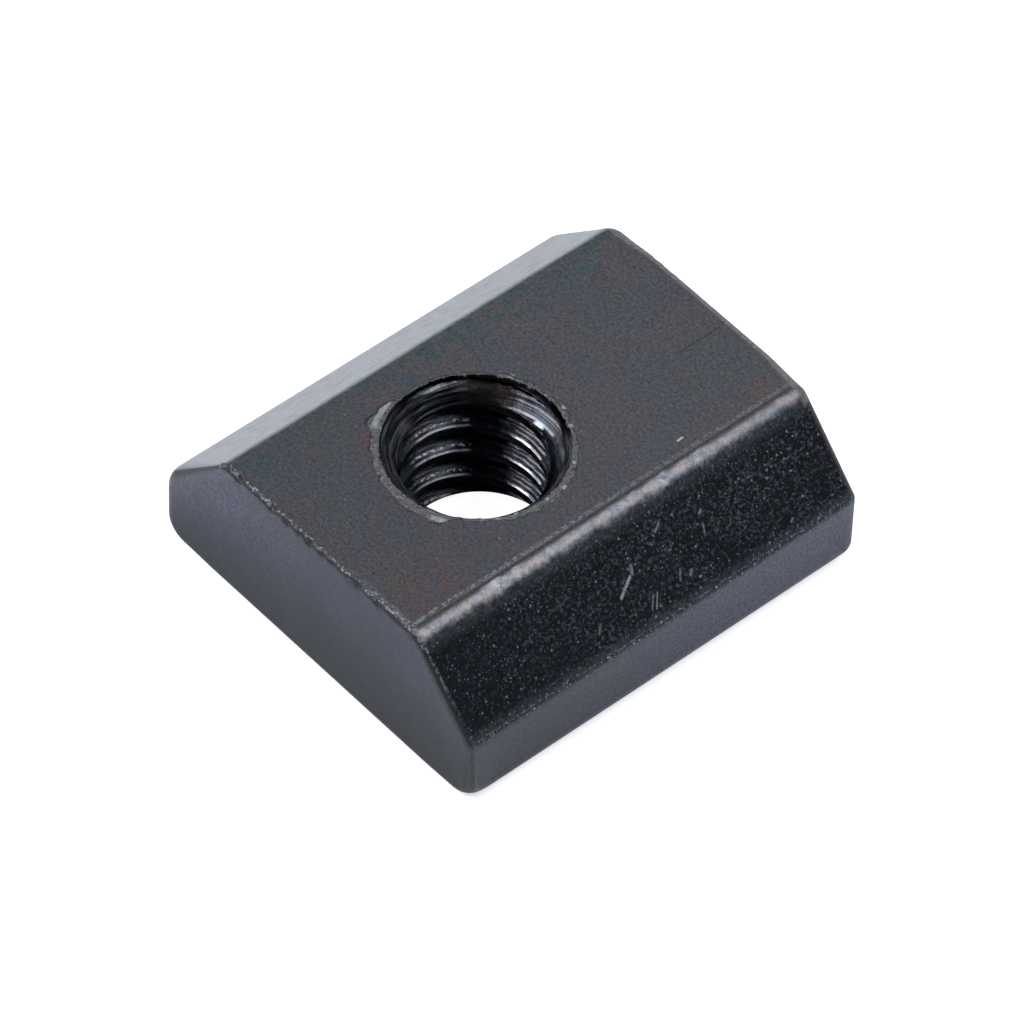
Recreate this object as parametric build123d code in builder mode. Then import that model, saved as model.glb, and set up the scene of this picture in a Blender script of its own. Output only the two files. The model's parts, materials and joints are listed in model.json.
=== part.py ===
from build123d import *

import os

# T-slot nut: one piece of drawn steel bar, cut to length, drilled, countersunk and tapped.
# Sizes are in millimetres. The slot runs along Y and its mouth is above, at +Z.
# The origin is on the base, below the middle of the block.

# Section of the bar, across the slot
base_width = 16.2
top_width = 9.95
height = 6.3
side_height = 3.0
base_corner_radius = 1.0
shoulder_radius = 0.75
top_corner_radius = 0.55

# Cut ends
length = 17.8
end_edge_radius = 0.35

# Tapped hole, 1/4-20 UNC, bored here to the thread's minor diameter
minor_diameter = 5.1
top_mouth_diameter = 6.55
base_mouth_diameter = 7.0
hole_offset = 1.75

half_base = base_width / 2
half_top = top_width / 2

with BuildPart() as t_slot_nut:
    # The section has a foot with upright sides, a sloping shoulder on each side and a flat top.
    with BuildSketch(Plane.XZ) as section:
        with BuildLine():
            Polyline(
                (-half_base, 0),
                (half_base, 0),
                (half_base, side_height),
                (half_top, height),
                (-half_top, height),
                (-half_base, side_height),
                close=True,
            )
        make_face()
        base_corners, shoulders, top_corners = section.vertices().group_by(Axis.Y)
        fillet(base_corners, base_corner_radius)
        fillet(shoulders, shoulder_radius)
        fillet(top_corners, top_corner_radius)
    extrude(amount=length / 2, both=True)

    # The outline of each cut end is tumbled round.
    ends = t_slot_nut.faces().sort_by(Axis.Y)
    near_end = ends[0]
    far_end = ends[-1]
    fillet(near_end.edges() + far_end.edges(), end_edge_radius)

    # The hole goes right through, nearer to one end, with a 90 degree countersink at each mouth.
    with Locations((0, -hole_offset, 0)):
        Hole(minor_diameter / 2)
    mouths = t_slot_nut.edges(Select.LAST).filter_by(GeomType.CIRCLE)
    base_mouth, top_mouth = mouths.sort_by(Axis.Z)
    chamfer(base_mouth, (base_mouth_diameter - minor_diameter) / 2)
    chamfer(top_mouth, (top_mouth_diameter - minor_diameter) / 2)

t_slot_nut.part.label = "t_slot_nut"

os.makedirs("parts", exist_ok=True)
export_step(t_slot_nut.part, "parts/t_slot_nut.step")
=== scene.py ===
import functools
import json
import math

import bmesh
import bpy
import numpy as np
from mathutils import Matrix, Vector


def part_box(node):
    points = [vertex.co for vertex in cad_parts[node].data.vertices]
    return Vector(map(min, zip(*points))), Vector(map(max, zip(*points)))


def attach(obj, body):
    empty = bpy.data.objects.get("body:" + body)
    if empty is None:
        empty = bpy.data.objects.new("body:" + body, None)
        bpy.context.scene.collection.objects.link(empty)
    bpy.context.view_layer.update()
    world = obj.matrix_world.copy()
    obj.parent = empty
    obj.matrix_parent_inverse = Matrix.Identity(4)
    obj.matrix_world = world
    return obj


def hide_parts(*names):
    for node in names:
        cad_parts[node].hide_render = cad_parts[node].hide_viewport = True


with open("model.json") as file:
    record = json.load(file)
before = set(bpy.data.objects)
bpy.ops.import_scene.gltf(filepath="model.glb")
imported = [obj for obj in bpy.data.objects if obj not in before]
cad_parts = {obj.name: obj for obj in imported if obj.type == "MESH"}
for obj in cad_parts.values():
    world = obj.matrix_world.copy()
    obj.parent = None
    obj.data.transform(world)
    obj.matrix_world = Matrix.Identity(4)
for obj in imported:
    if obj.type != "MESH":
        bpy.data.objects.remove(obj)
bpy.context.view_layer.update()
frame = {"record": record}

# Lengths in this file are millimetres in the frame of the CAD, and MM turns them into metres.
MM = 0.001
NODE = "t_slot_nut"
BODY = "root"
UPRIGHT = math.pi / 2
FULL_TURN = 2 * math.pi

_, high = (np.array(corner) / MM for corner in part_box(NODE))
thread_mount = next(m for m in frame["record"]["mounts"] if m["name"] == "thread")

# The block, from the frame
HALF_WIDTH, HALF_LENGTH, HEIGHT = high
HOLE_X, HOLE_Y = (value / MM for value in thread_mount["pos_m"][:2])
MINOR_RADIUS = thread_mount["dims"]["r_mm"]

# The block, as the photograph shows it inside that box: BURR_ROOM is kept for the torn rim over
# the top face, and END_ROOM for the lean of the ends
BURR_ROOM = 0.055
TOP_Z = HEIGHT - BURR_ROOM
END_ROOM = 0.061

# The thread, 1/4-20 UNC, right-hand
PITCH = 1.27
MAJOR_RADIUS = 3.19
CREST_SHARE = 0.25
ROOT_SHARE = 0.125
CREST_Z = 1.16
TOP_MOUTH_RADIUS = 3.265
BASE_MOUTH_RADIUS = 3.48
BASE_MOUTH_SHIFT = 0.24
BASE_MOUTH_SHIFT_ANGLE = math.radians(50)
TOP_MOUTH_SHIFT = 0.05
TOP_MOUTH_SHIFT_ANGLE = math.radians(-48)
TOP_MOUTH_SLOPE = 0.9
TOP_RING_DEPTH = 0.86
BASE_RING_DEPTH = 1.1
TOOL_RIDGE = 0.006
TOOL_RIDGE_STEP = 0.19
CHATTER = 0.006

# The faces round the mouths: the width of the fine rows, and where a face bends to its edge
COLLAR = 0.75
BEND_START = 0.9

# The torn rim round the top mouth. Each part has its angles from and to, their soft ends, all in
# degrees, and how far it reaches out and how unevenly.
RIM_REACH = (0.09, 0.02)
RIM_PARTS = (
    (-150, -57, 14, 0.16, 0.025),
    (-165, -142, 12, 0.26, 0.05),
    (-25, 62, 16, 0.15, 0.05),
    (72, 125, 10, 0.08, 0.05),
)
RIM_TAIL = (-98, -58, 6, 0.14)
RIM_TAIL_START, RIM_TAIL_SPAN = -95, 36
RIM_LEAST_REACH = 0.03
RIM_HEIGHT = 0.03
RIM_TORN_HEIGHT = 0.022
SKIRT_HEIGHT = 0.0016

# Nicks in the right top edge: x, y, radius and depth
TOP_EDGE_NICKS = (
    (5.12, -5.18, 0.3, 0.07),
    (5.10, -5.62, 0.22, 0.05),
    (5.10, -4.28, 0.24, 0.05),
    (5.02, 2.22, 0.3, 0.06),
    (5.08, 3.9, 0.26, 0.05),
    (5.1, 0.9, 0.2, 0.03),
)

# The knocked base corner: radius and depth
KNOCK = (1.1, 0.14)

# Where random dents lie along the edges
DENT_TOP_X = (-4.6, 5.1)
DENT_Y = (-8.4, 8.4)
DENT_Z = (0.6, 6.0)
END_EDGE_Y = 8.8
RIGHT_EDGE_X = 5.1
LEFT_EDGE_X = -4.7
SHOULDER_EDGE_Z = 3.0

# Grid counts
SIDE_COLUMNS = 118
END_COLUMNS = 80
CORNER_COLUMNS = 10
TOP_ROWS = (14, 12)
BASE_ROWS = (4, 14)
TOP_RINGS = 30
BASE_RINGS = 16

# The lines of the mesh that follow the thread, from a crest's middle to a root's, in turns
HALF_THREAD = (0, 0.09, 0.125, 0.155, 0.23, 0.31, 0.39, 0.4375, 0.5)
HELIX_LINES = 2 * (len(HALF_THREAD) - 1)
SHARP_ANGLE = math.radians(32)


def add_object(name, data):
    thing = bpy.data.objects.new(name, data)
    bpy.context.scene.collection.objects.link(thing)
    return thing


def ripple(points, wavelength, seed, waves=14):
    """Smooth noise of about unit size, the same each run, for an array of points."""
    rng = np.random.default_rng(seed)
    axes = rng.normal(size=(waves, 3))
    axes /= np.linalg.norm(axes, axis=1)[:, None]
    rates = FULL_TURN / (wavelength * rng.uniform(0.7, 1.5, waves))
    phases = rng.uniform(0, FULL_TURN, waves)
    total = np.zeros(points.shape[:-1])
    for axis, rate, phase in zip(axes, rates, phases):
        total += np.sin(points @ axis * rate + phase)
    return total * math.sqrt(2 / waves)


def smooth_step(value, start, end):
    """0 at start and 1 at end, smooth between; start may be the larger."""
    share = np.clip((value - start) / (end - start), 0, 1)
    return share * share * (3 - 2 * share)


def spaced(count, crowd_start=0.0, crowd_end=0.0):
    """Shares from 0 to 1 in count steps, with a support step close to either end."""
    shares = list(np.linspace(0, 1, count + 1))
    if crowd_start:
        shares.insert(1, crowd_start)
    if crowd_end:
        shares.insert(-1, 1 - crowd_end)
    return np.array(shares)


class Section:
    """One side of the bar's section, as rows from the edge of the top face to that of the base.
    A row is x, z and the direction that its surface faces, as an angle from upright."""

    TOP_STEPS, SLOPE_STEPS, SHOULDER_STEPS, SIDE_STEPS, BASE_STEPS = 5, 16, 5, 8, 7

    def __init__(self, sign, top_x, shoulder_z, top_radius, shoulder_radius, base_radius):
        slope = math.atan2(TOP_Z - shoulder_z, HALF_WIDTH - top_x)
        self.sign = sign
        self.slope = slope
        self.top_radius = top_radius
        self.base_radius = base_radius
        self.flat_top_x = top_x - top_radius * math.tan(slope / 2)
        self.flat_base_x = HALF_WIDTH - base_radius
        drop = shoulder_radius * math.tan((UPRIGHT - slope) / 2)
        top = self.arc(self.flat_top_x, TOP_Z - top_radius, top_radius, 0, slope, self.TOP_STEPS)
        shoulder = self.arc(HALF_WIDTH - shoulder_radius, shoulder_z - drop, shoulder_radius,
                            slope, UPRIGHT, self.SHOULDER_STEPS)
        base = self.arc(self.flat_base_x, base_radius, base_radius, UPRIGHT, math.pi,
                        self.BASE_STEPS)
        sloped = self.line(top[-1], shoulder[0], self.SLOPE_STEPS)
        side = self.line(shoulder[-1], base[0], self.SIDE_STEPS)
        self.rows = top + sloped + shoulder + side + base
        self.first_slope = len(top) - 1
        self.first_shoulder = len(top + sloped)
        self.last_side = len(self.rows) - len(base)

    @staticmethod
    def arc(centre_x, centre_z, radius, start, end, steps):
        return [(centre_x + radius * math.sin(a), centre_z + radius * math.cos(a), a)
                for a in np.linspace(start, end, steps + 1)]

    @staticmethod
    def line(start, end, steps):
        return [tuple(a + (b - a) * share for a, b in zip(start, end))
                for share in spaced(steps, 0.02, 0.02)[1:-1]]


RIGHT = Section(1, 5.18, 3.01, 0.65, 0.5, 0.79)
LEFT = Section(-1, 4.76, 2.965, 0.95, 1.4, 1.0)
ROWS = len(RIGHT.rows)
FIRST_SLOPE = RIGHT.first_slope
FIRST_SHOULDER = RIGHT.first_shoulder
LAST_SIDE = RIGHT.last_side


class End:
    """A cut end: how it stands, and how round its edges are along the top at mid width, at
    the top's corners, beside the right and left shoulders, along the base and at its corners."""

    def __init__(self, sign, skew, lean, top, corners, uprights, base, base_corners):
        self.sign = sign
        self.skew = skew
        self.lean = lean
        self.top = top
        self.corners = corners
        self.uprights = {1: uprights[0], -1: uprights[1]}
        self.base = base
        self.base_corners = base_corners

    def y(self, x, z, back):
        flat = HALF_LENGTH - END_ROOM + self.skew * x + self.lean * (z - HEIGHT / 2)
        return self.sign * (flat - back)

    def top_edge(self, share):
        """share runs across the end, from one top corner to the other."""
        middle = smooth_step(min(share, 1 - share), 0, 0.2)
        return self.corners + (self.top - self.corners) * middle

    def base_edge(self, share):
        middle = smooth_step(min(share, 1 - share), 0, 0.12)
        return self.base_corners + (self.base - self.base_corners) * middle

    def beside(self, row, sign):
        upright = self.uprights[sign]
        if row <= FIRST_SHOULDER:
            share = smooth_step(row, FIRST_SLOPE, FIRST_SHOULDER)
            return self.corners + (upright - self.corners) * share
        share = smooth_step(row, FIRST_SHOULDER, LAST_SIDE)
        return upright + (self.base_corners - upright) * share


NEAR = End(-1, -0.006, -0.0014, 0.2, 0.24, (0.27, 0.5), 0.386, 0.45)
FAR = End(1, -0.007, -0.002, 0.38, 0.6, (0.55, 0.4), 0.4, 0.58)


def flat_start(section, row, top_edge, base_edge):
    """Where the even columns of an end begin beside a row, on a line from top to base."""
    first, last = section.rows[FIRST_SLOPE][1], section.rows[LAST_SIDE][1]
    fall = (first - section.rows[row][1]) / (first - last)
    x = section.flat_top_x + (section.flat_base_x - section.flat_top_x) * fall
    z = TOP_Z - top_edge + (base_edge - TOP_Z + top_edge) * fall
    return x, z


def rounded(section, end, row, angle, turn):
    """A point of the patch at a corner of the top or the base, which is round both ways."""
    if row <= FIRST_SLOPE:
        radius, centre_x, edge = section.top_radius, section.flat_top_x, end.corners
        centre_z = TOP_Z - radius
    else:
        radius, centre_x, edge = section.base_radius, section.flat_base_x, end.base_corners
        centre_z = radius
    reach = radius - edge * (1 - math.cos(turn))
    return (centre_x + reach * math.sin(angle), centre_z + reach * math.cos(angle),
            edge * (1 - math.sin(turn)))


def corner_point(section, end, share, row):
    """share runs from a side, over the rounded edge of the end, to the even columns."""
    turn = min(1.0, 2 * share) * UPRIGHT
    beyond = max(0.0, 2 * share - 1)
    x, z, angle = section.rows[row]
    back = 0
    if row <= FIRST_SLOPE:
        part = row / FIRST_SLOPE
        x, z, back = rounded(section, end, row, part * section.slope * (1 - beyond), part * turn)
    elif row >= LAST_SIDE:
        part = (ROWS - 1 - row) / (ROWS - 1 - LAST_SIDE)
        angle = math.pi - part * UPRIGHT * (1 - beyond)
        x, z, back = rounded(section, end, row, angle, part * turn)
    else:
        edge = end.beside(row, section.sign)
        x -= edge * (1 - math.cos(turn)) * math.sin(angle)
        z -= edge * (1 - math.cos(turn)) * math.cos(angle)
        back = edge * (1 - math.sin(turn))
        if beyond:
            inner = flat_start(section, row, end.corners, end.base_corners)
            x += (inner[0] - x) * beyond
            z += (inner[1] - z) * beyond
    x *= section.sign
    return x, end.y(x, z, back), z


def side_point(section, share, row):
    """share runs along a side, from the near end to the far one."""
    x, z, _ = section.rows[row]
    x *= section.sign
    start = NEAR.y(x, z, NEAR.beside(row, section.sign))
    finish = FAR.y(x, z, FAR.beside(row, section.sign))
    return x, start + (finish - start) * share, z


def end_point(end, share, row):
    """share runs from the right side to the left."""
    back = 0
    edge = end.top_edge(share)
    if row <= FIRST_SLOPE:
        turn = UPRIGHT * row / FIRST_SLOPE
        places = [(s.flat_top_x, TOP_Z - edge * (1 - math.cos(turn))) for s in (RIGHT, LEFT)]
        back = edge * (1 - math.sin(turn))
    elif row >= LAST_SIDE:
        edge = end.base_edge(share)
        turn = UPRIGHT * (ROWS - 1 - row) / (ROWS - 1 - LAST_SIDE)
        places = [(s.flat_base_x, edge * (1 - math.cos(turn))) for s in (RIGHT, LEFT)]
        back = edge * (1 - math.sin(turn))
    else:
        places = [flat_start(s, row, edge, end.base_edge(share)) for s in (RIGHT, LEFT)]
    x = places[0][0] + (-places[1][0] - places[0][0]) * share
    z = places[0][1] + (places[1][1] - places[0][1]) * share
    return x, end.y(x, z, back), z


def outside_columns():
    """Rows of columns that run anticlockwise round the block as seen from above."""
    sides = np.linspace(0, 1, SIDE_COLUMNS + 1)
    corners = np.linspace(0, 1, CORNER_COLUMNS + 1)[1:-1]
    ends = np.linspace(0, 1, END_COLUMNS + 1)
    columns = [(side_point, RIGHT, s) for s in sides]
    columns += [(corner_point, RIGHT, FAR, s) for s in corners]
    columns += [(end_point, FAR, s) for s in ends]
    columns += [(corner_point, LEFT, FAR, s) for s in corners[::-1]]
    columns += [(side_point, LEFT, s) for s in sides[::-1]]
    columns += [(corner_point, LEFT, NEAR, s) for s in corners]
    columns += [(end_point, NEAR, s) for s in ends[::-1]]
    columns += [(corner_point, RIGHT, NEAR, s) for s in corners[::-1]]
    points = [[place(*where, row) for place, *where in columns] for row in range(ROWS)]
    return np.array(points)


def dent(points, centre, radius, depth):
    """Pushes points near a centre inwards, towards the middle of the block."""
    away = np.linalg.norm(points - centre, axis=-1)
    share = np.clip(1 - (away / radius) ** 2, 0, 1) ** 2
    inward = np.array((0.0, 0.3 * centre[1], HEIGHT / 2)) - centre
    points += inward / np.linalg.norm(inward) * (depth * share)[..., None]


def knock(points, rng, centres, radii, depths):
    """A dent of random size at each centre."""
    for centre in centres:
        dent(points, centre, rng.uniform(*radii), rng.uniform(*depths))


def either_side(rng, x):
    return x * rng.choice((-1, 1))


def worn(points):
    """The outside with its edges knocked and rough, nowhere outside its first shape."""
    points = points.copy()
    rng = np.random.default_rng(5)
    dent(points, (HALF_WIDTH, -HALF_LENGTH, 0), *KNOCK)
    for x, y, radius, depth in TOP_EDGE_NICKS:
        dent(points, (x, y, TOP_Z - 0.04), radius, depth)
    knock(points, rng, ((x, -END_EDGE_Y, TOP_Z - rng.uniform(0, 0.2))
                        for x in rng.uniform(*DENT_TOP_X, 46)), (0.12, 0.3), (0.02, 0.06))
    knock(points, rng, ((x, END_EDGE_Y, TOP_Z) for x in rng.uniform(*DENT_TOP_X, 22)),
          (0.15, 0.3), (0.015, 0.04))
    knock(points, rng, ((RIGHT_EDGE_X, y, TOP_Z) for y in rng.uniform(*DENT_Y, 26)),
          (0.15, 0.35), (0.01, 0.03))
    knock(points, rng, ((LEFT_EDGE_X, y, TOP_Z) for y in rng.uniform(*DENT_Y, 12)),
          (0.15, 0.3), (0.008, 0.02))
    shoulder_z = RIGHT.rows[FIRST_SHOULDER][1]
    knock(points, rng, ((either_side(rng, HALF_WIDTH), y, shoulder_z)
                        for y in rng.uniform(*DENT_Y, 24)), (0.15, 0.3), (0.01, 0.03))
    sloped = ((SHOULDER_EDGE_Z, TOP_Z), (HALF_WIDTH, RIGHT_EDGE_X))
    knock(points, rng, ((either_side(rng, np.interp(z, *sloped)), -END_EDGE_Y, z)
                        for z in rng.uniform(*DENT_Z, 24)), (0.12, 0.25), (0.01, 0.04))
    return points


def hole_angles(edge_points):
    """The angle round the hole at which each column arrives."""
    away = edge_points[:, :2] - (HOLE_X, HOLE_Y)
    true_angles = np.unwrap(np.arctan2(away[:, 1], away[:, 0]))
    count = len(true_angles)
    even = true_angles[0] + np.arange(count) * FULL_TURN / count
    return 0.75 * true_angles + 0.25 * even


def circle(angles):
    return np.stack([np.cos(angles), np.sin(angles), np.zeros_like(angles)], -1)


def ring(angles, radius, z, shift=(0.0, 0.0)):
    """Points round the hole's middle, or round a place that is shifted from it."""
    points = np.empty((len(angles), 3))
    points[:, 0] = HOLE_X + shift[0] + radius * np.cos(angles)
    points[:, 1] = HOLE_Y + shift[1] + radius * np.sin(angles)
    points[:, 2] = z
    return points


def mouth_radius(angles):
    """The radius of the mouth in the top face, which stands a little off the thread's middle."""
    return TOP_MOUTH_RADIUS + TOP_MOUTH_SHIFT * np.cos(angles - TOP_MOUTH_SHIFT_ANGLE)


def flat_rows(angles, start_radius, edge_points, z, steps, shift=(0.0, 0.0)):
    """Rows of a face that is flat at height z, from round the mouth of the hole to its edge.
    steps are those of the collar round the mouth and those of the rest."""
    rows = []
    for share in np.linspace(0, 1, steps[0] + 1)[1:]:
        rows.append(ring(angles, start_radius + COLLAR * share ** 1.3, z, shift))
    start = rows[-1]
    for share in spaced(steps[1], 0, 0.02)[1:-1]:
        row = start + (edge_points - start) * share
        row[:, 2] = z + (edge_points[:, 2] - z) * smooth_step(share, BEND_START, 1)
        rows.append(row)
    return rows


def sector(angles, start, end, soft):
    """1 between two angles in degrees and 0 elsewhere, with soft ends."""
    middle = math.radians((start + end) / 2)
    half = math.radians((end - start) / 2)
    away = np.abs((angles - middle + math.pi) % FULL_TURN - math.pi)
    return 1 - smooth_step(away, half - math.radians(soft) / 2, half + math.radians(soft) / 2)


def rim_width(angles):
    """How far the torn rim reaches out over the top face, by the angle round the hole."""
    around = circle(angles) * MAJOR_RADIUS
    rough = ripple(around, 0.75, seed=11) * 0.7 + ripple(around, 0.27, seed=12) * 0.3
    width = RIM_REACH[0] + RIM_REACH[1] * rough
    for start, end, soft, reach, uneven in RIM_PARTS:
        width += sector(angles, start, end, soft) * (reach + uneven * rough)
    degrees = (np.degrees(angles) + 180) % 360 - 180
    tail = np.clip(degrees - RIM_TAIL_START, 0, RIM_TAIL_SPAN) / RIM_TAIL_SPAN
    width += sector(angles, *RIM_TAIL[:3]) * RIM_TAIL[3] * tail
    return np.maximum(width, RIM_LEAST_REACH)


def rim_height(points):
    """Height of the torn rim over the top face, at most the room left for it, and of the
    shallow skirt round it, on which the material paints the rim's shadow."""
    away = points[:, :2] - (HOLE_X, HOLE_Y)
    angles = np.arctan2(away[:, 1], away[:, 0])
    reach = (np.hypot(away[:, 0], away[:, 1]) - mouth_radius(angles)) / rim_width(angles)
    grain = ripple(points, 0.16, seed=13) * 0.3 + ripple(points, 0.34, seed=14) * 0.2
    crown = np.sqrt(np.clip(1 - reach ** 2, 0, 1)) * smooth_step(reach, -0.6, 0.1)
    torn = np.clip(sector(angles, -150, -57, 12) + sector(angles, -165, -140, 12), 0, 1)
    height = crown * (RIM_HEIGHT + RIM_TORN_HEIGHT * torn) * (1 + grain)
    height += SKIRT_HEIGHT * smooth_step(reach, 1.4, 1.0) * smooth_step(reach, 0.8, 1.0)
    return np.clip(height, 0, BURR_ROOM - 0.002)


def thread_radius(turns):
    """The radius of the tapped wall, for a place counted in turns from a crest's middle."""
    away = np.abs(turns - np.round(turns))
    rise = (away - CREST_SHARE / 2) / (0.5 - ROOT_SHARE / 2 - CREST_SHARE / 2)
    return MINOR_RADIUS + (MAJOR_RADIUS - MINOR_RADIUS) * np.clip(rise, 0, 1)


def wall_radius(angles, z):
    """The radius of the hole: its thread, and where they are wider the two countersinks."""
    turns = (z - CREST_Z) / PITCH - angles / FULL_TURN
    coarse = FULL_TURN * z / TOOL_RIDGE_STEP + ripple(circle(angles), 1.6, seed=21)
    fine = FULL_TURN * z / (TOOL_RIDGE_STEP * 0.61) + 1
    ridges = TOOL_RIDGE * (np.sin(coarse) + 0.6 * np.sin(fine))
    top = mouth_radius(angles) - (TOP_Z - z) * TOP_MOUTH_SLOPE + ridges
    shift = BASE_MOUTH_SHIFT * np.cos(angles - BASE_MOUTH_SHIFT_ANGLE)
    base = BASE_MOUTH_RADIUS + shift - z
    return np.maximum(thread_radius(turns), np.maximum(top, base))


def wall_ring(angles, z):
    """Points of the hole's wall, a little uneven away from both mouths."""
    points = ring(angles, wall_radius(angles, z), z)
    chatter = ripple(points * (1, 1, 0.3), 0.5, seed=22) * CHATTER
    chatter *= smooth_step(z, BASE_RING_DEPTH / 2, BASE_RING_DEPTH)
    chatter *= smooth_step(z, TOP_Z, TOP_Z - 0.2)
    points[:, :2] += (points[:, :2] - (HOLE_X, HOLE_Y)) * (chatter / MAJOR_RADIUS)[:, None]
    return points


def helix_levels(angles, z_top, z_base):
    """Heights of the lines that follow the thread, each held inside the wall. The rows go down."""
    steps = list(HALF_THREAD) + [1 - value for value in HALF_THREAD[-2:0:-1]]
    first = math.floor((z_base - CREST_Z) / PITCH - angles.max() / FULL_TURN) - 1
    last = math.ceil((z_top - CREST_Z) / PITCH - angles.min() / FULL_TURN) + 1
    lines = [whole + part for whole in range(first, last) for part in steps]
    levels = [CREST_Z + PITCH * (line + angles / FULL_TURN) for line in lines[::-1]]
    return [np.clip(level, z_base, z_top) for level in levels]


class Skin:
    """Gathers faces from rows of points that close on themselves, and joins equal points."""

    def __init__(self):
        self.points = []
        self.faces = []
        self.count = 0

    def add(self, points):
        self.points.append(points)
        start = self.count
        self.count += len(points)
        return np.arange(start, self.count)

    def band(self, upper, lower, upper_next=None, lower_next=None):
        """Faces between two rows. On a helix a row ends at the start of a later one, and the
        last two arguments are where the two rows go on."""
        next_lower = np.roll(lower, -1)
        next_upper = np.roll(upper, -1)
        if lower_next is not None:
            next_lower[-1] = lower_next
            next_upper[-1] = upper_next
        self.faces.append(np.stack([upper, lower, next_lower, next_upper], 1))

    def bands(self, rows):
        for upper, lower in zip(rows, rows[1:]):
            self.band(upper, lower)

    def mesh(self, name):
        points = np.concatenate(self.points)
        keys = np.round(points * 1e4).astype(np.int64)
        _, first, to_one = np.unique(keys, axis=0, return_index=True, return_inverse=True)
        to_one = to_one.reshape(-1)
        faces = to_one[np.concatenate(self.faces)]
        tidy = []
        for face in faces.tolist():
            corners = [v for i, v in enumerate(face) if v != face[i - 1]]
            if len(set(corners)) == len(corners) >= 3:
                tidy.append(corners)
        mesh = bpy.data.meshes.new(name)
        mesh.from_pydata((points[first] * MM).tolist(), [], tidy)
        mesh.update()
        return mesh


def add_block(skin, outside, angles):
    """The top face, the outside, the base and the lowest part of the hole, as rows that go
    outwards over the top, down, and inwards under the base."""
    rows = []
    for row in flat_rows(angles, mouth_radius(angles), outside[0], TOP_Z, TOP_ROWS):
        row[:, 2] += rim_height(row)
        rows.append(skin.add(row))
    rows += [skin.add(row) for row in outside]
    shift = (BASE_MOUTH_SHIFT * math.cos(BASE_MOUTH_SHIFT_ANGLE),
             BASE_MOUTH_SHIFT * math.sin(BASE_MOUTH_SHIFT_ANGLE))
    base_rows = flat_rows(angles, BASE_MOUTH_RADIUS, outside[-1], 0, BASE_ROWS, shift)
    rows += [skin.add(row) for row in base_rows[::-1]]
    rows += [skin.add(wall_ring(angles, np.full(len(angles), z)))
             for z in np.linspace(0, BASE_RING_DEPTH, BASE_RINGS)]
    skin.bands(rows)
    return rows


def add_top_mouth(skin, angles):
    """The countersink of the top mouth, as rows that go down."""
    rows = []
    for z in np.linspace(TOP_Z, TOP_Z - TOP_RING_DEPTH, TOP_RINGS):
        row = wall_ring(angles, np.full(len(angles), z))
        if z > TOP_Z - BURR_ROOM:
            row[:, 2] += rim_height(row)
        rows.append(skin.add(row))
    skin.bands(rows[::-1])
    return rows


def add_thread(skin, angles):
    """The wall between the countersinks, as helical rows that go down."""
    rows = [skin.add(wall_ring(angles, z))
            for z in helix_levels(angles, TOP_Z - TOP_RING_DEPTH, BASE_RING_DEPTH)]
    last = len(rows) - 1
    for k in range(last):
        upper_next, lower_next = (rows[min(max(i - HELIX_LINES, 0), last)][0] for i in (k + 1, k))
        skin.band(rows[k + 1], rows[k], upper_next, lower_next)
    return rows


def build_nut():
    outside = worn(outside_columns())
    angles = hole_angles(outside[0])
    skin = Skin()
    block = add_block(skin, outside, angles)
    mouth = add_top_mouth(skin, angles)
    thread = add_thread(skin, angles)
    skin.band(mouth[0], block[0])
    skin.band(thread[0], mouth[-1])
    skin.band(block[-1], thread[-1])
    return add_object("nut", skin.mesh("nut"))


def shade_smooth(mesh):
    """Turns all faces outwards and shades them smooth, apart from sharp edges."""
    shape = bmesh.new()
    shape.from_mesh(mesh)
    bmesh.ops.recalc_face_normals(shape, faces=shape.faces)
    shape.to_mesh(mesh)
    shape.free()
    for polygon in mesh.polygons:
        polygon.use_smooth = True
    mesh.set_sharp_from_angle(angle=SHARP_ANGLE)


nut = build_nut()
shade_smooth(nut.data)


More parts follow.
